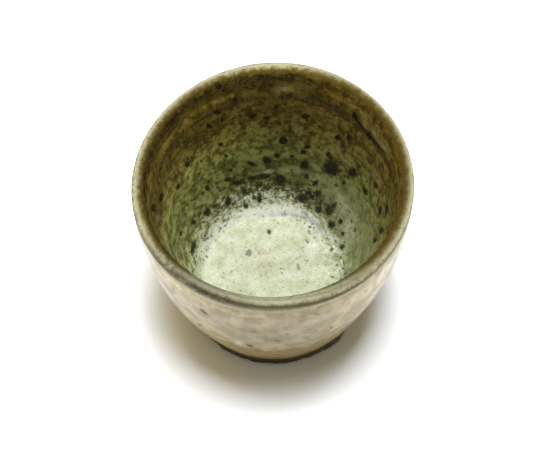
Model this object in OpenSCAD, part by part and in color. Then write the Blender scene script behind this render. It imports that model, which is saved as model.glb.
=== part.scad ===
// Soba choko: a small cup for dipping sauce, thrown in stoneware and glazed.
// The clay is one thrown lump. A pooled glaze lies inside it, a thin one over its lip
// and a pale one outside, which stops above the foot in an uneven hem.
// Millimetres, +Z up, origin at the middle of the foot, on the table.

/* [Cup] */
// Outside diameter of the clay at the lip
lip_d = 79.4; // [72:0.2:90]
// Height of the clay lip above the table
lip_h = 66.2; // [56:0.2:76]
// Diameter that the outside curve has at the table
foot_d = 51.6; // [46:0.2:56]
// Bow of the wall out of a straight cone, at mid height
belly = 2.9; // [1.5:0.1:4]
// Depth of the waist that trimming leaves above the foot
waist = 1.8; // [0:0.1:2.4]
// Height of that waist above the table
waist_z = 7.5; // [5:0.5:12]

/* [Clay wall and floor] */
// Thickness of the lip
lip_t = 3.4; // [2.4:0.1:4]
// Thickness of the wall at the level of the floor
wall_t = 3.8; // [3:0.1:5]
// Height of the floor above the table
floor_z = 7.2; // [6:0.1:9]
// Height of the curve that leads from the floor into the wall
corner_h = 5; // [4:0.5:6]

/* [Throwing marks] */
// Spacing of the finger rings on the inside wall
ring_pitch = 7; // [5:0.5:10]
// Depth of a finger ring
ring_depth = 0.16; // [0:0.02:0.4]
// Depth of the uppermost finger ring below the lip
first_ring = 7.5; // [6:0.5:12]
// Distance of the groove round the floor from the foot of the wall
groove_in = 1.9; // [1.8:0.1:4]
// Width of the slope from the floor into that groove
groove_w = 0.9; // [0.6:0.1:2]
// Depth of that groove
groove_depth = 0.25; // [0:0.05:0.6]

/* [Foot] */
// Width of the ring that stands on the table
foot_ring = 4.6; // [3:0.2:8]
// Bevel round the outer edge of that ring
foot_bevel = 0.9; // [0.4:0.1:1.2]
// Height of the hollow inside the ring
foot_hollow = 2.4; // [1:0.1:3]
// Slope of the hollow's side, from the table to its full height
hollow_slope = 1.4; // [0.5:0.1:3]
// Rise of the hollow's roof towards its middle
hollow_rise = 0.5; // [0:0.1:1]

/* [Glaze] */
// Thickness over the lip, where the glaze runs thin
glaze_lip = 0.3; // [0.2:0.02:0.5]
// Thickness on the inside wall, above the pool
glaze_wall = 0.6; // [0.4:0.05:0.8]
// Extra depth of the glaze that pools on the floor
glaze_pool = 0.6; // [0:0.05:0.8]
// Thickness on the outside at the hem, where the glaze gathers
glaze_hem = 0.4; // [0.3:0.05:0.8]
// Width of the band that the lip's glaze takes on both sides of the wall
lip_band = 1.6; // [0.8:0.1:3]

/* [Glaze hem] */
// Height of the hem above the table
hem_z = 5; // [3.6:0.1:7]
// Lean of the hem, left by a slanting dip
hem_lean = 2.2; // [0:0.1:2.6]
// Direction in which the hem is lowest
hem_turn = 150; // [0:5:355]
// Number of runs that hang below the hem
run_count = 5; // [0:1:8]
// Width of a run
run_w = 4.5; // [3:0.5:8]
// Length of the longest run
run_len = 0.7; // [0.2:0.1:0.8]
// Direction of the first run
run_turn = 312; // [0:1:359]

/* [Hidden] */
$fn = 96;

corner_steps = 7;
ring_steps = 6;
lip_steps = 10;
outer_steps = 24;

// The lip is an arc round this centre, and the walls run into it
lip_r = lip_t / 2;
lip_z = lip_h - lip_r;
lip_lean = atan((outer_r(lip_z) - outer_r(lip_z - 1)));
band_z = lip_z - lip_band;
corner_z = floor_z + corner_h;

// The pool climbs the wall above the curve and thins out there
pool_h = 2.2 * corner_h;

// Deepest line of the groove, where the curve into the wall starts, and the slope where it ends
groove_r = inner_r(floor_z) - groove_in;
wall_slope = atan2(corner_h, inner_r(corner_z) - inner_r(floor_z));

// Golden angle, which spreads the runs unevenly round the foot
run_step = 137.5;
hem_reach = lip_d;

function lerp(a, b, t) = a + (b - a) * t;

// Outside of the clay: a bowed cone with a trimmed waist
function waist_at(z) = waist * (z / waist_z) * exp(1 - z / waist_z);
function outer_r(z) =
    lerp(foot_d, lip_d, z / lip_h) / 2
    + 4 * belly * (z / lip_h) * (1 - z / lip_h)
    - waist_at(z);

// Inside of the clay: the wall thickens from the lip down to the floor
function inner_r(z) = outer_r(z) - lerp(lip_t, wall_t, (lip_z - z) / (lip_z - floor_z));

// Finger rings, which fade out towards the lip and the floor
function ring_fade(z) = max(0, min(1, (z - corner_z) / ring_pitch, (band_z - z) / 2));
function ring_at(z) = ring_depth * ring_fade(z) * cos(360 * (lip_h - z - first_ring) / ring_pitch);

// Point of a quadratic curve
function curve_point(a, b, c, t) = lerp(lerp(a, b, t), lerp(b, c, t), t);

// The clay's skin, from the middle of the floor up the inside, over the lip and down outside
floor_skin = [
    [0, floor_z],
    [groove_r - groove_w, floor_z],
];
corner_skin = [
    for (i = [0 : corner_steps - 1])
        curve_point(
            [groove_r, floor_z - groove_depth],
            [inner_r(floor_z), floor_z],
            [inner_r(corner_z), corner_z],
            i / corner_steps
        )
];
inner_steps = ceil((band_z - corner_z) / ring_pitch * ring_steps);
inner_skin = [
    for (i = [0 : inner_steps])
        let (z = lerp(corner_z, band_z, i / inner_steps))
        [inner_r(z) + ring_at(z), z]
];
lip_skin = [
    for (i = [0 : lip_steps])
        let (a = lerp(180, 0, i / lip_steps) - lip_lean)
        [outer_r(lip_z) - lip_r + lip_r * cos(a), lip_z + lip_r * sin(a)]
];
outer_skin = [
    for (i = [0 : outer_steps])
        let (z = lerp(band_z, foot_bevel, i / outer_steps))
        [outer_r(z), z]
];
skin = concat(floor_skin, corner_skin, inner_skin, lip_skin, outer_skin);

// Where the curve and the wall start on the skin, and where the three coats meet
corner_first = len(floor_skin);
wall_first = corner_first + corner_steps;
lip_first = wall_first + len(inner_skin) - 1;
lip_last = lip_first + len(lip_skin) + 1;
skin_last = len(skin) - 1;

// Glaze thickness at each point of the skin
function pool_at(z) = glaze_pool * pow(max(0, 1 - (z - floor_z) / pool_h), 2);
function inner_coat(z) = lerp(glaze_lip, glaze_wall, (lip_z - z) / (lip_z - floor_z)) + pool_at(z);
function outer_coat(z) = lerp(glaze_hem, glaze_lip, z / band_z);
function coat_at(i) =
    i <= lip_first ? inner_coat(skin[i].y)
    : i < lip_last ? glaze_lip
    : outer_coat(skin[i].y);

// Slope of the surface that the glaze forms: level over the floor, then turning into the wall
function skin_slope(i) =
    let (d = skin[min(i + 1, skin_last)] - skin[max(i - 1, 0)])
    i < wall_first ? wall_slope * max(0, i - corner_first) / corner_steps
    : atan2(d.y, d.x);

// Glazed surface: the skin moved out at right angles to that slope
function glazed(i) = skin[i] + coat_at(i) * [-sin(skin_slope(i)), cos(skin_slope(i))];

// A coat between two points of the skin
module coat(first, last) {
    rotate_extrude()
        polygon(concat(
            [for (i = [first : last]) skin[i]],
            [for (i = [last : -1 : first]) glazed(i)]
        ));
}

// One run of glaze, as a slot that points outwards and has a round end
module run_slot(length) {
    rotate([90, 0, 90])
        linear_extrude(hem_reach)
            union() {
                translate([-run_w / 2, hem_z - length + run_w / 2])
                    square([run_w, hem_z]);
                translate([0, hem_z - length + run_w / 2])
                    circle(d = run_w);
            }
}

// What the dip left bare: all below the leaning hem, apart from the runs
module bare_zone() {
    difference() {
        rotate(hem_turn)
            translate([0, 0, hem_z])
                rotate([0, hem_lean, 0])
                    translate([-hem_reach, -hem_reach, -2 * hem_z])
                        cube([2 * hem_reach, 2 * hem_reach, 2 * hem_z]);
        for (i = [0 : 1 : run_count - 1])
            rotate(run_turn + run_step * i)
                run_slot(run_len * (1 - i / (2 * run_count)));
    }
}

// Thrown wall, floor and lip, with the trimmed foot
module stoneware_body() {
    foot_r = outer_r(foot_bevel) - foot_bevel;
    hollow_r = foot_r - foot_ring;
    color("saddlebrown")
        rotate_extrude()
            polygon(concat(skin, [
                [foot_r, 0],
                [hollow_r, 0],
                [hollow_r - hollow_slope, foot_hollow],
                [0, foot_hollow + hollow_rise],
            ]));
}

// Green glaze on the inside wall, pooled on the floor
module inner_glaze() {
    color("darkseagreen")
        coat(0, lip_first);
}

// Thin glaze over the lip
module rim_glaze() {
    color("darkkhaki")
        coat(lip_first, lip_last);
}

// Pale glaze outside, down to the hem and its runs
module outer_glaze() {
    color("antiquewhite")
        difference() {
            coat(lip_last, skin_last);
            bare_zone();
        }
}

stoneware_body();
inner_glaze();
rim_glaze();
outer_glaze();
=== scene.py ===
import math

import bmesh
import bpy
import numpy as np
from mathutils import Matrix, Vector
from mathutils.bvhtree import BVHTree


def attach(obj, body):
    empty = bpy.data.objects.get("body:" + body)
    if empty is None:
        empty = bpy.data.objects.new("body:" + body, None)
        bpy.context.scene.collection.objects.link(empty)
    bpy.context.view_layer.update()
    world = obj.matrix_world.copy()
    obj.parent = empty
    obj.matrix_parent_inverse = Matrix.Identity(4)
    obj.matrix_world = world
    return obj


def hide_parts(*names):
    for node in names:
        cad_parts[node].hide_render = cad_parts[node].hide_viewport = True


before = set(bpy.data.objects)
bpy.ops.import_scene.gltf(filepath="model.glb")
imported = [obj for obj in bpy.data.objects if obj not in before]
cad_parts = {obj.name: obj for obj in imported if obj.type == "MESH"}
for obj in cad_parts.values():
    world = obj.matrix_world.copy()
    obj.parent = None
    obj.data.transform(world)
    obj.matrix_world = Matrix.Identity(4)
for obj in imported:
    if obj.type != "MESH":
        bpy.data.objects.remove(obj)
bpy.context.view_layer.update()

MM = 0.001

# The photograph's frame in pixels, and the camera that it was taken with
IMAGE_W, IMAGE_H = 550, 450
CAMERA_DISTANCE = 820 * MM
CAMERA_ELEVATION = math.radians(61.7)
CAMERA_LENS = 185.0
CAMERA_SENSOR = 36.0
AIM_X, AIM_Z = 0.26 * MM, 40.5 * MM

# Sizes of the cup in millimetres, as in the solids
LIP_D, LIP_H = 79.4, 66.2
FOOT_D = 51.6
BELLY = 2.9
WAIST, WAIST_Z = 1.8, 7.5
LIP_T, WALL_T = 3.4, 3.8
FLOOR_Z, CORNER_H = 7.2, 5.0
RING_PITCH, RING_DEPTH, FIRST_RING = 7.0, 0.16, 7.5
GROOVE_IN, GROOVE_W, GROOVE_DEPTH = 1.9, 0.9, 0.25
FOOT_RING, FOOT_BEVEL = 4.6, 0.9
FOOT_HOLLOW, HOLLOW_SLOPE, HOLLOW_RISE = 2.4, 1.4, 0.5
GLAZE_LIP, GLAZE_WALL, GLAZE_POOL, GLAZE_HEM = 0.3, 0.6, 0.6, 0.4
LIP_BAND = 1.6

# Glaze hem: height, lean, runs and the roll that its edge ends in
HEM_Z, HEM_LEAN, HEM_TURN = 5.0, math.radians(2.2), math.radians(150)
RUN_COUNT, RUN_W, RUN_LEN, RUN_TURN = 5, 4.5, 0.7, math.radians(312)
RUN_STEP = math.radians(137.5)
BEAD = 1.3

# What the hand left in the clay: the lip is higher on the right, the right side is a little flat
# and the foot bulges to the front right
LIP_TILT, LIP_TILT_TURN = 1.8, math.radians(11)
LIP_WAVE, LIP_WAVE_TURN = 0.19, math.radians(-57)
LIP_SWAY = -0.43
OUT_OF_ROUND = 0.003
FLAT_DEPTH, FLAT_Z, FLAT_H, FLAT_TURN = 1.1, 26.5, 10.0, math.radians(-12)
BULGE, BULGE_H, BULGE_TURN, BULGE_SPAN = 0.95, 4.5, math.radians(-46), math.radians(9)

# Fineness of the meshes
TURNS = 420
FLOOR_ROWS, CORNER_ROWS, INNER_ROWS, LIP_ROWS, OUTER_ROWS = 44, 18, 110, 24, 110
BACK_STEP = 6
SHARP_EDGE = math.radians(50)

LIP_R = LIP_T / 2
LIP_Z = LIP_H - LIP_R
BAND_Z = LIP_Z - LIP_BAND
CORNER_Z = FLOOR_Z + CORNER_H
POOL_H = 2.2 * CORNER_H
PHI = np.arange(TURNS) * 2 * math.pi / TURNS


def lerp(a, b, t):
    return a + (b - a) * t


def bell(x, width):
    return np.exp(-(x / width) ** 2)


def turn_between(a, b):
    """Angle from b to a, within half a turn."""
    return np.angle(np.exp(1j * (a - b)))


def outer_r(z):
    """Radius of the clay's outside at height z."""
    t = z / LIP_H
    waist = WAIST * z / WAIST_Z * np.exp(1 - z / WAIST_Z)
    return lerp(FOOT_D, LIP_D, t) / 2 + 4 * BELLY * t * (1 - t) - waist


def inner_r(z):
    """Radius of the clay's inside at height z."""
    return outer_r(z) - lerp(LIP_T, WALL_T, (LIP_Z - z) / (LIP_Z - FLOOR_Z))


GROOVE_R = float(inner_r(FLOOR_Z)) - GROOVE_IN
WALL_SLOPE = math.atan2(CORNER_H, float(inner_r(CORNER_Z) - inner_r(FLOOR_Z)))
LIP_LEAN = math.atan(float(outer_r(LIP_Z) - outer_r(LIP_Z - 1)))


def throwing_rings(z, phi):
    """Depth of the finger rings, which wind up the wall and are deepest under the lip."""
    below = LIP_H - z - FIRST_RING
    fade = np.clip(np.minimum((z - CORNER_Z) / RING_PITCH, (BAND_Z - z) / 2), 0, 1)
    turn = below / RING_PITCH * 2 * math.pi
    side = 0.45 + 0.55 * np.abs(np.cos(phi))
    depth = RING_DEPTH * side * (0.35 + 0.9 * bell(below, 12.0))
    rings = np.cos(turn + 0.6 * np.sin(phi + 0.7))
    rings = rings + 0.35 * np.sin(2.3 * turn + phi)
    rings = rings + 0.25 * np.sin(0.6 * turn - 2 * phi)
    return depth * fade * rings


def outer_marks(z, phi):
    """Shallow trimming and throwing marks on the outside."""
    fade = np.clip((BAND_Z - z) / 4, 0, 1) * np.clip((z - FOOT_BEVEL) / 5, 0, 1)
    broad = 0.08 * np.sin(z * 0.82 + 0.9 * np.sin(phi + 2.0))
    fine = 0.02 * np.sin(z * 2.1 + 1.5 * np.sin(2 * phi))
    lumps = np.sin(17 * phi + 1.0)
    lumps = lumps + 0.8 * np.sin(29 * phi + 2.5 + 0.4 * z)
    lumps = lumps + 0.6 * np.sin(47 * phi - 0.7 * z)
    return fade * (broad + fine) + 0.07 * lumps * bell(z - FOOT_BEVEL, 3.0)


def hem_height(phi):
    """Height of the glaze hem: a leaning line, with runs and a small waver."""
    foot_r = FOOT_D / 2
    z = HEM_Z - foot_r * math.tan(HEM_LEAN) * np.cos(phi - HEM_TURN)
    z = z + 0.12 * np.sin(5 * phi + 1.0) + 0.08 * np.sin(11 * phi + 2.0)
    for i in range(RUN_COUNT):
        away = turn_between(phi, RUN_TURN + RUN_STEP * i) * foot_r
        z = z - RUN_LEN * (1 - i / (2 * RUN_COUNT)) * bell(away, RUN_W / 2)
    return z


def inside_skin():
    """Clay from the middle of the floor to the lip's band: radii and heights, a row per turn."""
    r = np.linspace(0, GROOVE_R, FLOOR_ROWS, endpoint=False)
    dip = np.clip((GROOVE_R - r) / GROOVE_W, 0, 1)
    floor = np.stack([r, FLOOR_Z - GROOVE_DEPTH * (1 + np.cos(math.pi * dip)) / 2], -1)
    t = np.linspace(0, 1, CORNER_ROWS, endpoint=False)[:, None]
    a = np.array([GROOVE_R, FLOOR_Z - GROOVE_DEPTH])
    b = np.array([float(inner_r(FLOOR_Z)), FLOOR_Z])
    c = np.array([float(inner_r(CORNER_Z)), CORNER_Z])
    corner = lerp(lerp(a, b, t), lerp(b, c, t), t)
    z = np.linspace(CORNER_Z, BAND_Z, INNER_ROWS)
    low = np.repeat(np.concatenate([floor, corner])[None], TURNS, 0)
    wall_z = np.repeat(z[None], TURNS, 0)
    wall_r = inner_r(wall_z) + throwing_rings(wall_z, PHI[:, None])
    return np.concatenate([low, np.stack([wall_r, wall_z], -1)], 1)


def lip_skin():
    """Clay over the lip, from the band inside to the band outside."""
    a = np.linspace(math.pi, 0, LIP_ROWS) - LIP_LEAN
    middle = float(outer_r(LIP_Z)) - LIP_R
    arc = np.stack([middle + LIP_R * np.cos(a), LIP_Z + LIP_R * np.sin(a)], -1)
    first = [[float(inner_r(BAND_Z)), BAND_Z]]
    last = [[float(outer_r(BAND_Z)), BAND_Z]]
    return np.repeat(np.concatenate([first, arc, last])[None], TURNS, 0)


def outside_skin(end):
    """Clay from the lip's band down to a height, which may differ round the cup."""
    t = np.linspace(0, 1, OUTER_ROWS)
    z = lerp(BAND_Z, np.broadcast_to(end, TURNS)[:, None], t[None])
    return np.stack([outer_r(z) + outer_marks(z, PHI[:, None]), z], -1)


def inner_coat(z):
    """Thickness of the coat inside, which grows downwards and pools on the floor."""
    pool = GLAZE_POOL * np.clip(1 - (z - FLOOR_Z) / POOL_H, 0, 1) ** 2
    return lerp(GLAZE_LIP, GLAZE_WALL, (LIP_Z - z) / (LIP_Z - FLOOR_Z)) + pool


def outer_coat(z, hem):
    """The coat outside thickens downwards and rolls under at the hem."""
    near = np.clip((z - hem) / BEAD, 0, 1)
    return lerp(GLAZE_HEM, GLAZE_LIP, z / BAND_Z) * np.sqrt(1 - (1 - near) ** 2)


def slope(skin):
    """Angle at which a profile runs, at each of its points."""
    d = np.gradient(skin, axis=1)
    return np.arctan2(d[..., 1], d[..., 0])


def inner_slope(skin):
    """Slope of the inside glaze: level over the floor, then turning into the wall."""
    turn = slope(skin)
    t = (np.arange(FLOOR_ROWS + CORNER_ROWS) - FLOOR_ROWS) / CORNER_ROWS
    turn[:, :len(t)] = WALL_SLOPE * np.clip(t, 0, 1)
    return turn


def glazed(skin, coat, turn):
    """A skin moved out by the coat's thickness, at right angles to the slope."""
    return skin + coat[..., None] * np.stack([-np.sin(turn), np.cos(turn)], -1)


def along(profile):
    """Distance along a profile from its first row."""
    step = np.linalg.norm(np.diff(profile, axis=1), axis=-1)
    return np.concatenate([np.zeros((len(profile), 1)), np.cumsum(step, 1)], 1)


def place(r, z, phi):
    """A point of the ideal cup where the hand-made one has it, in metres."""
    up = np.clip(z / LIP_H, 0, 1)
    r = r * (1 + OUT_OF_ROUND * up * (np.cos(2 * phi + 0.6) + 0.6 * np.cos(3 * phi + 2.0)))
    side = np.clip(np.cos(turn_between(phi, FLAT_TURN)), 0, 1) ** 2
    r = r - np.minimum(1, r / FOOT_D) * FLAT_DEPTH * side * bell(z - FLAT_Z, FLAT_H)
    low = np.clip(1 - z / BULGE_H, 0, 1) ** 0.7 * np.clip(r * 2 / FOOT_D, 0, 1) ** 8
    r = r + BULGE * low * bell(turn_between(phi, BULGE_TURN), BULGE_SPAN)
    x = r * np.cos(phi) + LIP_SWAY * up
    y = r * np.sin(phi)
    lift = LIP_TILT * np.cos(phi - LIP_TILT_TURN) * up ** 1.5 * np.clip(r / (LIP_D / 2), 0, 1)
    wave = LIP_WAVE * np.sin(2 * phi + LIP_WAVE_TURN) * up ** 3
    return np.stack([x, y, z + lift + wave], -1) * MM


def revolve(name, loop, depth, on_axis):
    """A closed solid from a profile per turn. One on the axis starts and ends there in a point."""
    turns, rows = loop.shape[:2]
    points = place(loop[..., 0], loop[..., 1], PHI[:, None])
    mesh = bpy.data.meshes.new(name)
    body = bmesh.new()
    layer = body.verts.layers.float.new("depth")
    chart = body.loops.layers.uv.new("OFBake")
    grid = [[None] * rows for _ in range(turns)]
    ends = {0, rows - 1} if on_axis else set()
    for k in range(rows):
        for s in range(turns):
            if k in ends and s > 0:
                grid[s][k] = grid[0][k]
                continue
            grid[s][k] = body.verts.new(points[s, k])
            grid[s][k][layer] = depth[s, k]
    last = rows - 1 if on_axis else rows
    for s in range(turns):
        for k in range(last):
            a, b = grid[s], grid[(s + 1) % turns]
            corners = [a[k], a[(k + 1) % rows], b[(k + 1) % rows], b[k]]
            places = [(s, k), (s, k + 1), (s + 1, k + 1), (s + 1, k)]
            spread = dict(zip(corners, places))
            face = body.faces.new(list(spread))
            for corner in face.loops:
                across, down = spread[corner.vert]
                corner[chart].uv = (across / turns, down / rows)
    bmesh.ops.recalc_face_normals(body, faces=body.faces)
    body.to_mesh(mesh)
    body.free()
    mesh.shade_smooth()
    mesh.set_sharp_from_angle(angle=SHARP_EDGE)
    piece = bpy.data.objects.new(name, mesh)
    bpy.context.scene.collection.objects.link(piece)
    return piece


def shell(name, skin, face, depth, on_axis=False):
    """A coat of glaze as a closed solid: its face, and the clay's side of it as its back."""
    keep = sorted(set(range(0, skin.shape[1], BACK_STEP)) | {skin.shape[1] - 1}, reverse=True)
    loop = np.concatenate([face, skin[:, keep]], 1)
    return revolve(name, loop, np.concatenate([depth, depth[:, keep]], 1), on_axis)


def dress(piece, node, material):
    """Gives a piece its material, puts it on the body it rides on, and hides the imported part of the node
    it stands for.
    """
    piece.data.materials.append(material)
    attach(piece, "root")
    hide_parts(node)
    return piece


# Marks that are told apart in the photograph, placed there in pixels: x, y, width, height and slant
IRON_INSIDE = (
    (331.8, 168.0, 14, 16, -35), (329.3, 155.5, 5, 7, -30), (304.3, 165.3, 8, 8, 0),
    (353.0, 172.4, 8, 8, 0), (343.6, 183.2, 3, 3, 0), (375.7, 185.2, 3.5, 6, -20),
    (365.0, 190.8, 3.5, 8, -20), (380.3, 210.2, 3, 9, 5), (386.4, 211.0, 2.5, 13, 8),
    (381.3, 230.6, 3.5, 7, 15), (374.7, 240.3, 3, 5, 20), (382.0, 245.5, 4, 7, 25),
    (303.3, 198.0, 9, 8, 0), (308.9, 192.9, 6, 5, 0), (312.4, 196.9, 5, 6, 0),
    (318.0, 192.9, 6, 6, 0), (318.6, 209.2, 7, 8, -20), (329.3, 210.2, 8, 10, 30),
    (333.9, 205.1, 4, 4, 0), (331.3, 224.5, 7, 7, 0), (340.5, 221.4, 4, 5, 0),
    (343.0, 233.7, 3, 4, 0), (342.0, 246.9, 5, 5.5, 0), (331.3, 249.5, 3, 3, 0),
    (269.1, 232.1, 4, 4, 0), (266.8, 160.0, 8, 6, 20), (277.8, 155.6, 4, 4, 0),
    (292.0, 156.0, 4, 4, 0), (303.8, 152.0, 6, 3.5, 0), (307.3, 146.7, 6, 4, 0),
    (283.2, 141.0, 8, 6.5, 30), (316.0, 182.7, 8, 4, -20), (306.8, 176.5, 4, 5, 0),
    (280.3, 179.6, 11, 7, 0), (265.0, 176.0, 9, 5, 0), (252.0, 178.0, 8, 4, 0),
    (187.2, 164.3, 4, 6, 10), (161.2, 197.4, 4, 9, 10), (154.0, 208.2, 3, 8, -5),
    (178.0, 187.2, 3.5, 5, 0), (207.1, 187.8, 4, 5, 0), (226.0, 155.8, 3, 3, 0),
    (228.0, 201.5, 5, 7, 0), (245.9, 205.6, 5, 5, 0), (207.1, 212.2, 6, 9, -15),
    (193.4, 222.4, 4, 5, 0), (180.6, 233.2, 3, 5, 0), (192.9, 248.0, 4.5, 14, 8),
    (243.9, 191.3, 5, 6, 0), (236.7, 182.7, 8, 4, 0), (228.0, 179.6, 8, 4, 0),
    (251.5, 163.8, 5, 4, 0), (260.7, 184.7, 4, 4, 0), (259.7, 198.0, 3.5, 10, 0),
    (235.2, 99.3, 5, 4, 0), (216.8, 112.0, 8, 4.5, 0), (221.9, 119.2, 4, 4, 0),
    (209.2, 126.3, 6, 4, 30), (252.0, 116.1, 6, 5, 0), (267.3, 117.7, 7, 4, 0),
    (276.0, 107.4, 4, 4, 0), (220.9, 144.2, 5, 4, 20), (304.8, 116.1, 7, 5, 0),
    (338.0, 137.6, 6, 6, 0), (349.2, 137.6, 4.5, 6, 0), (354.8, 116.6, 4.5, 9, -30),
    # The last two marks are thin dark lines along the right-hand streak: painted shade under a ring.
    (369.1, 135.0, 5, 9, -30), (361.5, 126.0, 2, 14, -32), (378.0, 145.0, 2, 20, -36),
)
IRON_LIP = ((218.9, 87.0, 7, 6, 0), (198.5, 100.2, 7, 5, 20))
SMEAR_INSIDE = (
    (226.0, 220.2, 11, 4, -25), (248.5, 252.5, 9, 9, 0), (307.3, 240.8, 5, 5.5, 0),
    (335.9, 255.6, 8, 8, 0), (298.0, 267.5, 6, 10, 10), (346.0, 273.0, 6, 12, 35),
    (270.9, 202.0, 6, 6, 0), (231.0, 272.0, 4, 4, 0), (329.4, 242.0, 2, 17, -22),
    (323.2, 129.4, 5, 8, 0), (169.0, 178.0, 4, 5, 0), (224.0, 165.3, 4, 4, 0),
    (188.8, 192.9, 3, 4, 0), (229.6, 129.4, 5, 3, 0), (261.2, 88.0, 6, 6, 0),
    (320.1, 100.3, 5, 4, 0), (289.5, 121.7, 4, 4, 0), (259.7, 123.8, 4, 4, 0),
    (362.0, 205.6, 3, 6, 0), (354.8, 229.6, 3, 6, 0),
)
# Pale marks, partly pale glaze and partly painted highlights: the streak high on the right,
# the patch under the far lip and the small glints are painted highlights.
PALE_AND_HIGHLIGHTS_INSIDE = (
    (287.0, 88.0, 26, 9, -8), (367.0, 121.0, 8, 18, -30), (376.5, 133.0, 7, 18, -36),
    (386.0, 147.0, 7, 16, -30), (345.0, 208.0, 12, 34, -20), (350.0, 226.0, 12, 30, -10),
    (268.0, 171.5, 20, 4, -6), (285.0, 170.0, 18, 4, 4), (253.6, 108.5, 4, 3, 0),
    (241.3, 130.4, 4, 3, 0), (249.5, 130.6, 5, 2, 0), (302.2, 110.0, 3, 3, 0),
    (196.0, 160.0, 3, 4, 0), (198.0, 178.0, 3, 3, 0), (352.0, 163.0, 5, 8, 0),
    (278.0, 195.0, 16, 4, 0), (262.0, 208.5, 16, 4, -4), (274.0, 207.5, 16, 5, 0),
    (288.0, 207.5, 16, 5, 4), (301.0, 209.5, 14, 5, 14), (311.0, 213.5, 10, 4, 30),
    (212.0, 247.0, 10, 12, 0), (212.0, 275.0, 9, 10, 20), (312.0, 246.0, 14, 12, 0),
)
LILAC_INSIDE = (
    (262.0, 216.5, 12, 3, 0), (273.0, 215.4, 14, 3.5, 0), (284.0, 214.8, 14, 4, 0),
    (295.0, 215.4, 13, 4.5, 8), (304.0, 217.8, 12, 5, 22), (312.0, 222.2, 11, 6, 36),
    (318.5, 228.4, 11, 6, 46), (323.5, 235.5, 9, 5, 58), (238.0, 217.0, 10, 3, -16),
)
PEPPER_INSIDE = (
    (213.0, 236.0, 22, 14, -35), (226.0, 222.0, 14, 8, -25), (331.0, 277.0, 20, 16, 0),
    (340.0, 262.0, 10, 16, 0), (205.0, 262.0, 8, 24, 0), (336.0, 240.0, 8, 16, 20),
    (250.0, 186.0, 40, 16, -8), (292.0, 186.0, 44, 16, 8),
)
TAN_INSIDE = (
    (267.0, 266.0, 19, 13, 0), (262.0, 252.0, 14, 8, 0), (317.0, 258.0, 8, 8, 0),
)
IRON_OUTSIDE = ((250.0, 346.0, 7, 2, 10), (204.0, 311.5, 9, 2, 36))
SMEAR_OUTSIDE = (
    (203.5, 311.5, 15, 5, 36), (253.0, 332.0, 6, 2, 0), (278.0, 341.0, 8, 2.5, 5),
    (287.5, 334.0, 5, 2, -20), (287.5, 349.0, 6, 2.5, 0), (317.0, 314.0, 6, 3, 0),
    (331.0, 327.5, 4, 4, 0), (308.0, 339.0, 3, 3, 0), (173.5, 289.0, 4, 4, 0),
    (200.0, 325.0, 6, 3, 20),
)
PALE_OUTSIDE = ((238.0, 343.0, 8, 3, 10),)

# Height in millimetres by which the iron spots stand out of each glaze
RELIEF_INSIDE, RELIEF_LIP, RELIEF_OUTSIDE = 0.07, 0.05, 0.1


def pixel_ray(x, y):
    """Start and direction of the camera's ray through a pixel."""
    camera = bpy.context.scene.camera
    length = CAMERA_LENS / CAMERA_SENSOR * IMAGE_W
    ray = Vector(((x - IMAGE_W / 2) / length, (IMAGE_H / 2 - y) / length, -1))
    return camera.location, (camera.rotation_quaternion @ ray).normalized()


def mark_field(points, tree, marks, shape):
    """How strongly a set of oval marks covers each point, by where their axes fall on the surface."""
    field = np.zeros(len(points))
    for x, y, width, height, slant in marks:
        turn = math.radians(slant)
        across = (math.cos(turn) * width / 2, math.sin(turn) * width / 2)
        down = (-math.sin(turn) * height / 2, math.cos(turn) * height / 2)
        hits = [tree.ray_cast(*pixel_ray(x + dx, y + dy))[0] for dx, dy in ((0, 0), across, down)]
        if None in hits:
            continue
        middle, a, b = (np.array(h) for h in hits)
        axes = np.stack([a - middle, b - middle], 1)
        away = points - middle
        flat = away @ np.linalg.pinv(axes).T
        lift = np.linalg.norm(away - flat @ axes.T, axis=1) / np.linalg.norm(axes)
        field = np.maximum(field, shape(np.sqrt((flat ** 2).sum(1) + lift ** 2)))
    return field


def sharp_mark(distance):
    """Cover by a mark with a firm edge, at a distance counted in its half axes."""
    return np.clip(1.6 - distance, 0, 1.6)


def soft_mark(distance):
    """Cover by a mark that fades out."""
    return np.exp(-1.2 * distance ** 2)


def mark(piece, relief, iron, smear, pale, stains=()):
    """Stores the marks on a piece and raises its iron spots a little out of the glaze."""
    mesh = piece.data
    points = np.empty(len(mesh.vertices) * 3)
    mesh.vertices.foreach_get("co", points)
    points = points.reshape(-1, 3)
    normals = np.empty_like(points)
    mesh.vertices.foreach_get("normal", normals.reshape(-1))
    polygons = [tuple(p.vertices) for p in mesh.polygons]
    tree = BVHTree.FromPolygons(points.tolist(), polygons)
    layers = (
        mark_field(points, tree, iron, sharp_mark),
        mark_field(points, tree, smear, soft_mark),
        mark_field(points, tree, pale, soft_mark),
    )
    field = mesh.attributes.new("marks", "FLOAT_VECTOR", "POINT")
    field.data.foreach_set("vector", np.stack(layers, 1).ravel())
    if stains:
        spread = [mark_field(points, tree, stain, soft_mark) for stain in stains]
        field = mesh.attributes.new("stains", "FLOAT_VECTOR", "POINT")
        field.data.foreach_set("vector", np.stack(spread, 1).ravel())
    raised = np.clip((layers[0] - 0.4) / 0.6, 0, 1)
    points = points + normals * (relief * MM * raised * raised * (3 - 2 * raised))[:, None]
    mesh.vertices.foreach_set("co", points.ravel())
    mesh.update()


def srgb(r, g, b):
    """A screen colour of 0 to 255 as the light that it stands for."""
    def light(c):
        c = c / 255
        return c / 12.92 if c < 0.04045 else ((c + 0.055) / 1.055) ** 2.4
    return (light(r), light(g), light(b), 1)


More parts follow.
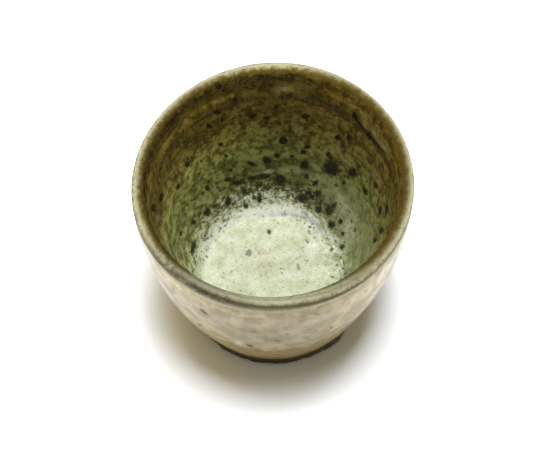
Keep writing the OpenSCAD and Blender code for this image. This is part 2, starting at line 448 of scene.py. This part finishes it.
class Graph:
    """The nodes of a material or of the world, with a short call for each kind that is used."""

    def __init__(self, owner):
        self.owner = owner
        owner.use_nodes = True
        self.tree = owner.node_tree
        self.tree.nodes.clear()

    def feed(self, socket, value):
        if isinstance(value, bpy.types.NodeSocket):
            self.tree.links.new(value, socket)
        else:
            socket.default_value = value

    def add(self, kind, inputs=(), **settings):
        node = self.tree.nodes.new(kind)
        for key, value in settings.items():
            setattr(node, key, value)
        for key, value in dict(inputs).items():
            self.feed(node.inputs[key], value)
        return node

    def math(self, operation, a, b=0.0, c=0.0):
        return self.add("ShaderNodeMath", {0: a, 1: b, 2: c}, operation=operation).outputs[0]

    def vector(self, operation, a, b=(0, 0, 0)):
        return self.add("ShaderNodeVectorMath", {0: a, 1: b}, operation=operation).outputs[0]

    def product(self, *factors):
        result = factors[0]
        for factor in factors[1:]:
            result = self.math("MULTIPLY", result, factor)
        return result

    def span(self, value, low, high, start=0.0, end=1.0):
        """A smooth step from start to end as the value goes from low to high."""
        inputs = {"Value": value, "From Min": low, "From Max": high, "To Min": start, "To Max": end}
        return self.add("ShaderNodeMapRange", inputs, interpolation_type="SMOOTHSTEP").outputs[0]

    def hump(self, value, middle, width):
        """One at the middle, falling to nothing a width away."""
        away = self.math("ABSOLUTE", self.math("SUBTRACT", value, middle))
        return self.span(away, 0.0, width, 1.0, 0.0)

    def noise(self, place, scale, detail=2.0, rough=0.5):
        inputs = {"Vector": place, "Scale": scale, "Detail": detail, "Roughness": rough}
        return self.add("ShaderNodeTexNoise", inputs).outputs[0]

    def mottle(self, place, scale, detail=3.0, rough=0.6):
        """Noise that is stretched to run from nothing to one."""
        return self.span(self.noise(place, scale, detail, rough), 0.32, 0.68)

    def swirl(self, place, scale, amount):
        """A place moved about by noise, which makes what is drawn there uneven."""
        node = self.add("ShaderNodeTexNoise", {"Vector": place, "Scale": scale, "Detail": 2.0})
        away = self.vector("SUBTRACT", node.outputs["Color"], (0.5, 0.5, 0.5))
        return self.vector("ADD", place, self.vector("MULTIPLY", away, (amount, amount, amount)))

    def cells(self, place, scale):
        return self.add("ShaderNodeTexVoronoi", {"Vector": place, "Scale": scale})

    def ramp(self, value, stops, span=1.0, start=0.0):
        """Colours along a value, whose stops are given in the value's own units."""
        share = self.math("DIVIDE", self.math("SUBTRACT", value, start), span)
        node = self.add("ShaderNodeValToRGB", {"Fac": share})
        points = node.color_ramp.elements
        while len(points) < len(stops):
            points.new(0.5)
        for point, (where, colour) in zip(points, stops):
            point.position = (where - start) / span
            point.color = colour
        return node.outputs[0]

    def mix(self, amount, a, b, kind="MIX"):
        node = self.add("ShaderNodeMix", data_type="RGBA", blend_type=kind)
        self.feed(node.inputs[0], amount)
        self.feed(node.inputs[6], a)
        self.feed(node.inputs[7], b)
        return node.outputs[2]

    def shade(self, colour, factor):
        """A colour made lighter or darker by a factor."""
        return self.add("ShaderNodeVectorMath", {0: colour, "Scale": factor}, operation="SCALE").outputs[0]

    def attribute(self, name, output):
        return self.add("ShaderNodeAttribute", attribute_name=name).outputs[output]

    def millimetres(self):
        place = self.add("ShaderNodeTexCoord").outputs["Object"]
        return self.vector("MULTIPLY", place, (1000, 1000, 1000))

    def parts(self, vector):
        return self.add("ShaderNodeSeparateXYZ", {0: vector}).outputs

    def bump(self, height, strength, distance):
        inputs = {"Height": height, "Strength": strength, "Distance": distance * MM}
        return self.add("ShaderNodeBump", inputs).outputs[0]

    def shown(self):
        """One where the camera looks, also in gloss or through glass."""
        path = self.add("ShaderNodeLightPath").outputs
        beyond = self.math("MAXIMUM", path["Is Glossy Ray"], path["Is Transmission Ray"])
        return self.math("MAXIMUM", path["Is Camera Ray"], beyond)

    def either(self, amount, a, b):
        return self.add("ShaderNodeMixShader", {0: amount, 1: a, 2: b}).outputs[0]

    def output(self, shader, kind="ShaderNodeOutputMaterial"):
        self.add(kind, {"Surface": shader})
        return self.owner

    def finish(self, colour, roughness, normal, gloss):
        inputs = {
            "Base Color": colour,
            "Roughness": roughness,
            "Normal": normal,
            "Specular IOR Level": gloss,
        }
        return self.output(self.add("ShaderNodeBsdfPrincipled", inputs).outputs[0])


# Distance round the lip's glaze from its crest to where the inside and outside coats begin
LIP_HALF = float(along(lip_skin())[0, -1]) / 2

# Lengths in millimetres over which colours run: inside, outside, and across the lip with its start
DEPTH_SPAN = 90.0
OUTER_SPAN = 60.0
LIP_SPAN, LIP_START = 10.0, -5.0

# How much lighter or darker the mottled wall is at the ends of its range
MOTTLE = 3.6

# Specular level of each surface
GLOSS_INSIDE, GLOSS_LIP, GLOSS_OUTSIDE, GLOSS_CLAY = 0.05, 0.06, 0.05, 0.2

# Colours of the glazes
DUSTY = srgb(146, 128, 76)
IRON_EDGE = srgb(64, 50, 14)
BROWN = srgb(110, 84, 24)
CREAM = srgb(222, 213, 184)


def specks(g, place, spacing, share, size):
    """Round specks, one in each cell for a share of the cells: how deep inside one a point is."""
    node = g.cells(place, 1 / spacing)
    chance, reach, _ = g.parts(node.outputs["Color"])
    chosen = g.math("LESS_THAN", chance, share)
    radius = g.math("MULTIPLY_ADD", reach, size, 0.4 * size)
    inside = g.math("SUBTRACT", 1.0, g.math("DIVIDE", node.outputs["Distance"], radius))
    return g.math("MULTIPLY", g.math("MAXIMUM", inside, 0.0), chosen)


def glaze_place(g):
    """Place in millimetres, depth along the surface from the lip, and direction from the axis."""
    place = g.millimetres()
    depth = g.attribute("depth", "Fac")
    x, y, _ = g.parts(place)
    flat = g.add("ShaderNodeCombineXYZ", {"X": x, "Y": y}).outputs[0]
    round_ = g.parts(g.vector("NORMALIZE", flat))
    return place, depth, round_


def runs(g, round_, depth, radius, squeeze):
    """A place that is stretched downwards, for noises that look like runs of glaze."""
    inputs = {
        "X": g.math("MULTIPLY", round_[0], radius),
        "Y": g.math("MULTIPLY", round_[1], radius),
        "Z": g.math("MULTIPLY", depth, squeeze),
    }
    return g.add("ShaderNodeCombineXYZ", inputs).outputs[0]


def sides(g, round_):
    """How far a place is to the left, to the right, to the back and to the front of the cup."""
    left = g.span(round_[0], 0.0, -0.8)
    right = g.span(round_[0], 0.0, 0.8)
    back = g.span(round_[1], 0.1, 0.95)
    front = g.span(round_[1], -0.1, -0.95)
    return left, right, back, front


def toned(g, start, *terms):
    """A factor made of a start and of shares that are added to it."""
    for share, amount in terms:
        start = g.math("MULTIPLY_ADD", share, amount, start)
    return start


def mottles(g, place):
    """A loosened place, noises in three sizes, and the power to which they lighten or darken the wall."""
    loose = g.swirl(place, 0.9, 1.0)
    patch = g.mottle(place, 0.26, 2.0, 0.5)
    lumps = g.mottle(loose, 0.6, 1.0, 0.5)
    grain = g.mottle(place, 1.7, 3.0, 0.65)
    power = toned(g, -1.65, (patch, 1.3), (lumps, 1.2), (grain, 0.8))
    return loose, patch, lumps, grain, power


def streaks(g, round_, depth):
    """Runs down the wall, half of them lighter and half darker."""
    return g.math("SUBTRACT", g.mottle(runs(g, round_, depth, 36.0, 0.1), 0.9), 0.5)


def inner_glaze_material():
    g = Graph(bpy.data.materials.new("inner_glaze"))
    place, depth, round_ = glaze_place(g)
    iron, smear, pale = g.parts(g.attribute("marks", "Vector"))
    lilac, pepper, tan = g.parts(g.attribute("stains", "Vector"))
    left, right, back, _ = sides(g, round_)
    loose, patch, lumps, grain, power = mottles(g, place)
    cloud = g.noise(place, 0.07, 3.0)
    clots = g.noise(place, 0.75, 3.0, 0.7)
    drip = g.noise(runs(g, round_, depth, 34.0, 0.05), 0.35, 2.0)

    # Colour by depth: brown under the lip, then olive and green
    shift = toned(g, -10.0, (drip, 12.0), (patch, 4.0), (lumps, 4.0))
    calm = g.span(depth, LIP_HALF, 16.0, 0.1, 1.0)
    colour = g.ramp(g.math("MULTIPLY_ADD", shift, calm, depth), [
        (3.5, BROWN),
        # The lighter stops at 5.5 and 7 mm are partly painted light, making up for shade under the lip.
        (5.5, srgb(131, 105, 31)),
        (7.0, srgb(141, 116, 40)),
        (9.0, srgb(122, 100, 36)),
        (11.5, srgb(124, 101, 32)),
        (15.0, srgb(124, 101, 30)),
        (19.0, srgb(126, 106, 34)),
        (24.0, srgb(114, 97, 33)),
        (29.0, srgb(129, 120, 53)),
        (38.0, srgb(125, 126, 60)),
        (44.0, srgb(120, 120, 64)),
        (56.0, srgb(126, 128, 78)),
    ], DEPTH_SPAN)
    upper = g.span(depth, 36.0, 24.0)
    # Lighter and darker by side of the cup, partly as painted light and shade: on the left,
    # painted shade on the lip's inner rounding and painted light on the ring below it; high on
    # the right, a painted highlight along a throwing ring; at the back, painted shade.
    tone_and_painted_light = toned(
        g, 0.82,
        (cloud, 0.3),
        (g.product(left, g.hump(depth, 3.4, 2.8)), -0.6),
        (g.product(left, g.hump(depth, 8.8, 3.6)), 1.1),
        (g.product(left, g.span(depth, 16.0, 30.0)), 0.3),
        (g.product(left, g.hump(depth, 31.0, 8.0)), 0.45),
        (g.product(left, g.span(depth, 47.0, 52.0)), 0.25),
        (g.product(back, g.span(depth, 24.0, 34.0)), -0.14),
        (g.product(back, g.span(depth, 36.0, 44.0)), -0.24),
        (g.product(right, g.hump(depth, 6.0, 4.0)), 1.55),
        (g.product(right, g.span(depth, 9.0, 16.0)), 0.24),
        (g.product(right, g.span(depth, 38.0, 46.0)), 0.34),
    )
    misty = g.product(right, g.span(depth, 34.0, 46.0))
    power = g.product(power, toned(g, 0.58, (misty, -0.26), (upper, -0.04)))
    power = toned(g, power, (g.product(upper, streaks(g, round_, depth)), 0.4))
    colour = g.shade(colour, g.math("POWER", MOTTLE, power))
    dusty = g.ramp(depth, [(22.0, DUSTY), (36.0, srgb(158, 158, 100))], DEPTH_SPAN)
    colour = g.mix(g.product(g.span(power, -0.3, 0.7), 0.7), colour, dusty)
    colour = g.shade(colour, tone_and_painted_light)
    misty = g.product(misty, toned(g, 0.4, (patch, 0.6)))
    colour = g.mix(g.product(misty, 0.6), colour, srgb(168, 176, 138))
    bright = g.span(specks(g, loose, 1.9, 0.35, 0.24), 0.0, 0.6)
    bright = g.product(bright, g.span(depth, 12.0, 34.0))
    colour = g.mix(g.product(bright, 0.5), colour, srgb(190, 184, 132))
    dull = g.span(specks(g, loose, 1.5, 0.35, 0.26), 0.0, 0.7)
    dull = g.product(dull, g.span(depth, 8.0, 30.0))
    colour = g.mix(g.product(dull, 0.5), colour, srgb(56, 50, 18))

    # The pool on the floor, with a border that is higher on the left and breaks up into grains
    border = toned(
        g, depth,
        (left, 1.0), (right, -5.5), (back, 2.4),
        (patch, 3.0), (lumps, 4.0), (grain, 4.0),
    )
    first = toned(g, 61.5, (left, -3.0), (right, -4.0))
    full = toned(g, 64.2, (left, 3.5), (right, 5.5))
    pool = g.span(border, first, full)
    milk = g.ramp(g.noise(place, 0.3, 4.0, 0.6), [
        (0.34, srgb(207, 212, 172)),
        (0.5, srgb(222, 228, 195)),
        (0.64, srgb(236, 240, 213)),
    ])
    milk = g.shade(milk, toned(g, 0.92, (grain, 0.14), (left, -0.06), (right, -0.06)))
    milk = g.mix(g.product(back, g.hump(depth, 60.5, 4.0), 0.9), milk, srgb(252, 252, 240))
    milk = g.mix(g.product(tan, 0.75), milk, srgb(206, 196, 166))
    milk = g.mix(g.product(lilac, toned(g, 0.5, (lumps, 0.4))), milk, srgb(164, 160, 170))
    colour = g.mix(pool, colour, milk)
    # Pale marks: partly pale glaze, partly painted highlights and glints.
    light = g.ramp(depth, [
        (12.0, srgb(222, 198, 130)),
        (26.0, srgb(178, 160, 108)),
        (44.0, srgb(182, 188, 150)),
        (58.0, srgb(252, 251, 236)),
    ], DEPTH_SPAN)
    clear = toned(g, 0.15, (lumps, 0.4), (grain, 0.3), (g.span(depth, 18.0, 12.0), 0.3))
    colour = g.mix(g.product(pale, clear), colour, light)

    # Grey smears, then the iron: a dense band over the pool, pepper, specks and the large spots
    smudge = g.span(toned(g, smear, (lumps, 0.5), (grain, 0.4)), 0.75, 1.35)
    grey = g.ramp(depth, [(50.0, srgb(66, 56, 24)), (60.0, srgb(118, 115, 104))], DEPTH_SPAN)
    colour = g.mix(g.product(smudge, 0.75), colour, grey)
    zone = g.product(g.hump(depth, 53.0, 9.0), g.span(round_[1], 0.3, 0.95))
    blots = g.product(g.span(toned(g, clots, (zone, 0.17)), 0.6, 0.74), 0.8)
    crowd = toned(g, pepper, (zone, 0.5), (g.product(g.hump(depth, 58.0, 7.0), patch), 0.7))
    crowd = toned(g, crowd, (g.product(right, g.hump(depth, 64.5, 3.5)), 1.1))
    fine = g.span(specks(g, loose, 1.3, 0.5, 0.46), 0.0, 0.6)
    fine = g.product(fine, g.span(crowd, 0.15, 0.6), 0.85)
    wall = g.span(depth, 60.0, 54.0)
    dots = g.span(specks(g, loose, 2.2, 0.5, 0.27), 0.0, 0.5)
    dots = g.product(dots, wall, toned(g, 0.55, (grain, 0.45)))
    edge = toned(g, -1.15, (iron, 1.0), (g.noise(place, 1.0, 3.0, 0.7), 1.8), (grain, 0.5))
    spot = g.span(edge, 0.25, 0.95)
    dark = g.math("MAXIMUM", g.math("MAXIMUM", fine, blots), g.math("MAXIMUM", dots, spot))
    rust = g.ramp(depth, [
        (22.0, srgb(30, 17, 6)),
        (36.0, srgb(22, 20, 10)),
        (58.0, srgb(40, 40, 30)),
        (66.0, srgb(78, 78, 64)),
    ], DEPTH_SPAN)
    colour = g.mix(g.product(g.span(edge, 0.1, 0.6), 0.5), colour, IRON_EDGE)
    colour = g.mix(g.product(dark, 0.92), colour, rust)
    # Grey centres on the largest spots, partly a painted sheen on their raised beads.
    colour = g.mix(g.product(g.span(edge, 1.15, 1.5), wall, 0.6), colour, srgb(76, 72, 72))

    roughness = toned(g, 0.4, (patch, 0.1), (dark, 0.12))
    height = toned(g, patch, (lumps, 0.5), (grain, 0.3), (dark, 0.5))
    return g.finish(colour, roughness, g.bump(height, 0.4, 0.1), GLOSS_INSIDE)


def rim_glaze_material():
    g = Graph(bpy.data.materials.new("rim_glaze"))
    place, depth, round_ = glaze_place(g)
    iron = g.parts(g.attribute("marks", "Vector"))[0]
    left, right, back, _ = sides(g, round_)
    loose, patch, lumps, grain, power = mottles(g, place)
    fine = g.mottle(runs(g, round_, depth, 36.0, 0.25), 0.55, 3.0, 0.7)

    # Colour across the lip, in millimetres from its palest line, which lies further out on the right
    # The pale crest is partly a painted highlight, and the darker lines either side partly painted shade.
    within = g.hump(depth, 0.0, LIP_HALF)
    ragged = toned(g, -0.65, (fine, 0.3), (lumps, 0.6), (grain, 0.4))
    ragged = g.product(ragged, within, g.span(depth, -0.6, 1.2, 0.8, 1.7))
    straight = toned(g, 0.2, (depth, 1.0), (left, 0.5), (right, 0.8))
    level = g.math("ADD", straight, ragged)
    colour = g.ramp(level, [
        (-4.0, CREAM),
        (-2.4, srgb(160, 154, 122)),
        (-1.4, srgb(122, 118, 86)),
        (-0.8, srgb(172, 165, 124)),
        (-0.3, srgb(208, 202, 162)),
        (0.1, srgb(202, 195, 152)),
        (0.5, srgb(172, 161, 110)),
        (0.9, srgb(136, 121, 68)),
        (1.4, srgb(106, 91, 40)),
        (2.0, srgb(102, 85, 30)),
        (3.0, srgb(112, 90, 28)),
        (4.2, BROWN),
    ], LIP_SPAN, LIP_START)
    # The front of the lip, with its own lines: likewise partly painted shade and highlight.
    nearer = toned(g, 0.2, (depth, 1.0), (left, -0.5), (right, 1.3), (ragged, 0.4))
    near = g.ramp(nearer, [
        (-4.0, CREAM),
        (-3.0, srgb(220, 211, 180)),
        (-2.1, srgb(176, 167, 132)),
        (-1.5, srgb(114, 106, 75)),
        (-1.1, srgb(112, 104, 73)),
        (-0.65, srgb(172, 165, 131)),
        (-0.1, srgb(200, 194, 159)),
        (0.5, srgb(160, 157, 122)),
        (1.2, srgb(180, 177, 139)),
        (1.8, srgb(140, 133, 92)),
        (2.6, srgb(96, 86, 42)),
        (4.2, BROWN),
    ], LIP_SPAN, LIP_START)
    colour = g.mix(g.span(round_[1], -0.6, -0.9), colour, near)
    # Darker blotches on the lip's outer line at the front left.
    aim = g.math("MULTIPLY_ADD", round_[0], -0.6, g.product(round_[1], -0.8))
    broken = g.span(toned(g, 0.0, (lumps, 0.6), (grain, 0.5)), 0.25, 0.7)
    dark_blotches = g.product(g.span(aim, 0.84, 0.97), g.hump(level, -0.6, 2.2), broken)
    colour = g.mix(g.product(dark_blotches, 0.85), colour, srgb(74, 68, 56))
    # Lighter and darker by side, partly painted light and shade: on the left, painted shade on the
    # lip's inner rounding; on the right, a painted highlight where the ring's streak meets the lip.
    tone_and_painted_light = toned(
        g, 0.78,
        (grain, 0.24), (lumps, 0.2),
        (g.product(left, within), -0.2),
        (g.product(left, g.hump(depth, 2.0, 2.6)), -0.44),
        (g.product(right, within), -0.34),
        (g.product(right, g.hump(depth, 3.8, 2.8)), 0.9),
        (g.product(back, within), 0.1),
    )
    inside = g.span(depth, 0.6, 3.0)
    power = g.product(inside, toned(g, 0.0, (power, 0.6), (streaks(g, round_, depth), 0.4)))
    colour = g.shade(colour, g.math("POWER", MOTTLE, power))
    colour = g.mix(g.product(inside, g.span(power, -0.3, 0.7), 0.7), colour, DUSTY)
    colour = g.shade(colour, tone_and_painted_light)
    dots = g.span(specks(g, loose, 2.6, 0.2, 0.2), 0.0, 0.5)
    colour = g.mix(g.product(dots, within, 0.6), colour, srgb(92, 74, 34))
    spot = g.span(toned(g, iron, (lumps, 0.6), (grain, 0.4)), 0.7, 1.5)
    colour = g.mix(g.product(spot, 0.85), colour, srgb(36, 22, 8))
    roughness = toned(g, 0.36, (patch, 0.12))
    height = toned(g, patch, (lumps, 0.5), (grain, 0.3))
    return g.finish(colour, roughness, g.bump(height, 0.4, 0.1), GLOSS_LIP)


def outer_glaze_material():
    g = Graph(bpy.data.materials.new("outer_glaze"))
    place, depth, round_ = glaze_place(g)
    iron, smear, pale = g.parts(g.attribute("marks", "Vector"))
    left, right, back, front = sides(g, round_)
    cloud = g.noise(place, 0.06, 3.0)
    flow = runs(g, round_, depth, 33.0, 0.42)
    patch = g.mottle(flow, 0.3)
    lumps = g.mottle(flow, 0.75, 3.0, 0.7)
    grain = g.mottle(place, 1.7, 3.0, 0.65)
    dabs = g.span(g.noise(runs(g, round_, depth, 24.0, 0.5), 0.34, 2.0), 0.2, 0.8)

    # Colour by depth: cream, then tan where the coat thins towards the foot, darker there partly as
    # painted shade
    down = g.math("SUBTRACT", -LIP_HALF, depth)
    uneven = g.product(g.span(down, 0.0, 6.0), toned(g, -5.0, (patch, 6.0), (lumps, 4.0)))
    colour = g.ramp(g.math("ADD", down, uneven), [
        (0.0, CREAM),
        (3.0, srgb(240, 235, 220)),
        (8.0, srgb(234, 232, 226)),
        (16.0, srgb(215, 213, 206)),
        (27.0, srgb(208, 204, 194)),
        (33.0, srgb(196, 185, 158)),
        (39.0, srgb(150, 139, 105)),
        (49.0, srgb(160, 146, 112)),
        (58.0, srgb(124, 107, 72)),
    ], OUTER_SPAN)
    # Lighter and darker by side, partly painted light and shade: darker near the lip and low down on
    # the right as painted shade, lighter low on the left as painted light.
    tone_and_painted_light = toned(
        g, 0.49,
        (cloud, 0.12), (patch, 0.17), (dabs, 0.37), (lumps, 0.14), (grain, 0.13),
        (g.product(right, g.hump(down, 1.0, 5.0)), -0.22),
        (g.product(left, g.span(down, 32.0, 44.0)), 0.2),
        (g.product(right, g.span(down, 18.0, 36.0)), -0.36),
        (g.product(right, g.span(down, 38.0, 50.0)), -0.22),
    )
    colour = g.shade(colour, tone_and_painted_light)
    tan = g.span(toned(g, 0.0, (dabs, 0.7), (patch, 0.3)), 0.8, 0.1)
    colour = g.mix(g.product(tan, 0.3), colour, srgb(178, 162, 126))
    # Warmer on the front and back; on the front this is partly painted warm shade.
    warm = g.mix(1.0, colour, srgb(249, 234, 192), "MULTIPLY")
    colour = g.mix(g.product(g.math("MAXIMUM", front, back), 0.75), colour, warm)
    smudge = g.span(toned(g, smear, (lumps, 0.5), (grain, 0.4)), 0.5, 1.6)
    colour = g.mix(g.product(smudge, 0.75), colour, srgb(112, 101, 92))
    colour = g.mix(g.product(pale, 0.7), colour, srgb(246, 240, 222))
    loose = g.swirl(place, 0.9, 1.2)
    dots = g.span(specks(g, loose, 5.0, 0.25, 0.12), 0.0, 0.5)
    spot = g.span(g.math("ADD", iron, g.math("MULTIPLY_ADD", grain, 0.7, -0.35)), 0.4, 0.8)
    colour = g.mix(g.product(dots, 0.45), colour, srgb(120, 104, 72))
    colour = g.mix(g.product(spot, 0.75), colour, srgb(76, 66, 62))
    roughness = toned(g, 0.38, (patch, 0.12))
    height = toned(g, dabs, (lumps, 0.4), (grain, 0.2))
    return g.finish(colour, roughness, g.bump(height, 0.2, 0.1), GLOSS_OUTSIDE)


def clay_material():
    g = Graph(bpy.data.materials.new("stoneware"))
    place = g.millimetres()
    coarse = g.noise(place, 0.5, 4.0, 0.65)
    grit = g.noise(place, 3.0, 2.0, 0.7)
    # Dark brown clay, made darker in part as painted shade where the foot meets the floor.
    colour = g.ramp(coarse, [(0.3, srgb(38, 28, 8)), (0.7, srgb(74, 58, 20))])
    sand = g.span(specks(g, place, 1.6, 0.3, 0.25), 0.0, 0.5)
    colour = g.mix(g.product(sand, 0.5), colour, srgb(128, 104, 74))
    roughness = toned(g, 0.7, (coarse, 0.2))
    height = g.math("ADD", g.product(grit, 0.6), coarse)
    return g.finish(colour, roughness, g.bump(height, 0.6, 0.25), GLOSS_CLAY)


def make_stoneware():
    inside, lip = inside_skin(), lip_skin()
    outside = outside_skin(FOOT_BEVEL)
    foot_r = float(outer_r(FOOT_BEVEL)) - FOOT_BEVEL
    hollow_r = foot_r - FOOT_RING
    under = [
        [foot_r, 0],
        [hollow_r, 0],
        [hollow_r - HOLLOW_SLOPE, FOOT_HOLLOW],
        [0, FOOT_HOLLOW + HOLLOW_RISE],
    ]
    under = np.repeat(np.array(under)[None], TURNS, 0)
    loop = np.concatenate([inside, lip[:, 1:-1], outside, under], 1)
    body = revolve("stoneware", loop, along(loop), True)
    return dress(body, "stoneware_body", clay_material())


def make_inner_glaze():
    skin = inside_skin()
    way = along(skin)
    depth = way[:, -1:] - way + LIP_HALF
    face = glazed(skin, inner_coat(skin[..., 1]), inner_slope(skin))
    piece = shell("inner_glaze_coat", skin, face, depth, True)
    stains = (LILAC_INSIDE, PEPPER_INSIDE, TAN_INSIDE)
    mark(piece, RELIEF_INSIDE, IRON_INSIDE, SMEAR_INSIDE, PALE_AND_HIGHLIGHTS_INSIDE, stains)
    return dress(piece, "inner_glaze", inner_glaze_material())


def make_rim_glaze():
    skin = lip_skin()
    depth = LIP_HALF - along(skin)
    face = glazed(skin, np.full(skin.shape[:2], GLAZE_LIP), slope(skin))
    piece = shell("rim_glaze_coat", skin, face, depth)
    mark(piece, RELIEF_LIP, IRON_LIP, (), ())
    return dress(piece, "rim_glaze", rim_glaze_material())


def make_outer_glaze():
    hem = hem_height(PHI)
    skin = outside_skin(hem)
    face = glazed(skin, outer_coat(skin[..., 1], hem[:, None]), slope(skin))
    piece = shell("outer_glaze_coat", skin, face, -LIP_HALF - along(skin))
    mark(piece, RELIEF_OUTSIDE, IRON_OUTSIDE, SMEAR_OUTSIDE, PALE_OUTSIDE)
    return dress(piece, "outer_glaze", outer_glaze_material())


def make_camera():
    data = bpy.data.cameras.new("camera")
    data.lens = CAMERA_LENS
    data.sensor_width = CAMERA_SENSOR
    data.clip_start, data.clip_end = 0.01, 20
    camera = bpy.data.objects.new("camera", data)
    bpy.context.scene.collection.objects.link(camera)
    back = Vector((0, -math.cos(CAMERA_ELEVATION), math.sin(CAMERA_ELEVATION)))
    camera.location = Vector((AIM_X, 0, AIM_Z)) + CAMERA_DISTANCE * back
    camera.rotation_mode = "QUATERNION"
    camera.rotation_quaternion = back.to_track_quat("Z", "Y")
    bpy.context.scene.camera = camera


# Light: a lamp above, a low white card on each side, and a faint warm light from all round.
# A lamp has its place, width and height in metres, and its power in watts
AMBIENT = 0.06
AMBIENT_COLOUR = (1.0, 0.84, 0.3, 1)
LAMPS = (
    ("top_softbox", (0.027, 0.045, 1.2), 0.46, 0.46, 13.0),
    ("left_card", (-0.6, 0.02, 0.022), 0.7, 0.04, 2.6),
    ("right_card", (0.6, 0.02, 0.022), 0.7, 0.04, 2.6),
)
LAMP_COLOUR = (0.985, 1.0, 1.05)

# The paper that the cup stands on, and how it comes out in the photograph, where it is overexposed
PAPER = (0.82, 0.82, 0.82, 1)
PAPER_SEEN = (1.94, 2.0, 2.06, 1)
FLOOR_HALF = 3.0


def make_floor():
    mesh = bpy.data.meshes.new("floor")
    corners = [(x * FLOOR_HALF, y * FLOOR_HALF, 0) for x, y in ((-1, -1), (1, -1), (1, 1), (-1, 1))]
    mesh.from_pydata(corners, [], [(0, 1, 2, 3)])
    floor = bpy.data.objects.new("floor", mesh)
    bpy.context.scene.collection.objects.link(floor)
    g = Graph(bpy.data.materials.new("white_paper"))
    paper = g.add("ShaderNodeBsdfDiffuse", {"Color": PAPER}).outputs[0]
    seen = g.add("ShaderNodeBsdfDiffuse", {"Color": PAPER_SEEN}).outputs[0]
    mesh.materials.append(g.output(g.either(g.shown(), paper, seen)))


def make_world():
    world = bpy.data.worlds.new("studio")
    bpy.context.scene.world = world
    g = Graph(world)
    fill = g.add("ShaderNodeBackground", {"Color": AMBIENT_COLOUR, "Strength": AMBIENT}).outputs[0]
    white = g.add("ShaderNodeBackground", {"Color": (1, 1, 1, 1), "Strength": 1.0}).outputs[0]
    g.output(g.either(g.shown(), fill, white), "ShaderNodeOutputWorld")


def make_lamps():
    for name, where, width, height, power in LAMPS:
        data = bpy.data.lights.new(name, "AREA")
        data.shape = "RECTANGLE"
        data.size, data.size_y = width, height
        data.energy = power
        data.color = LAMP_COLOUR
        lamp = bpy.data.objects.new(name, data)
        bpy.context.scene.collection.objects.link(lamp)
        lamp.location = where
        lamp.rotation_mode = "QUATERNION"
        lamp.rotation_quaternion = Vector(where).to_track_quat("Z", "Y")
        lamp.visible_camera = False


make_camera()
make_stoneware()
make_inner_glaze()
make_rim_glaze()
make_outer_glaze()
make_floor()
make_world()
make_lamps()
bpy.context.scene.view_settings.view_transform = "Standard"
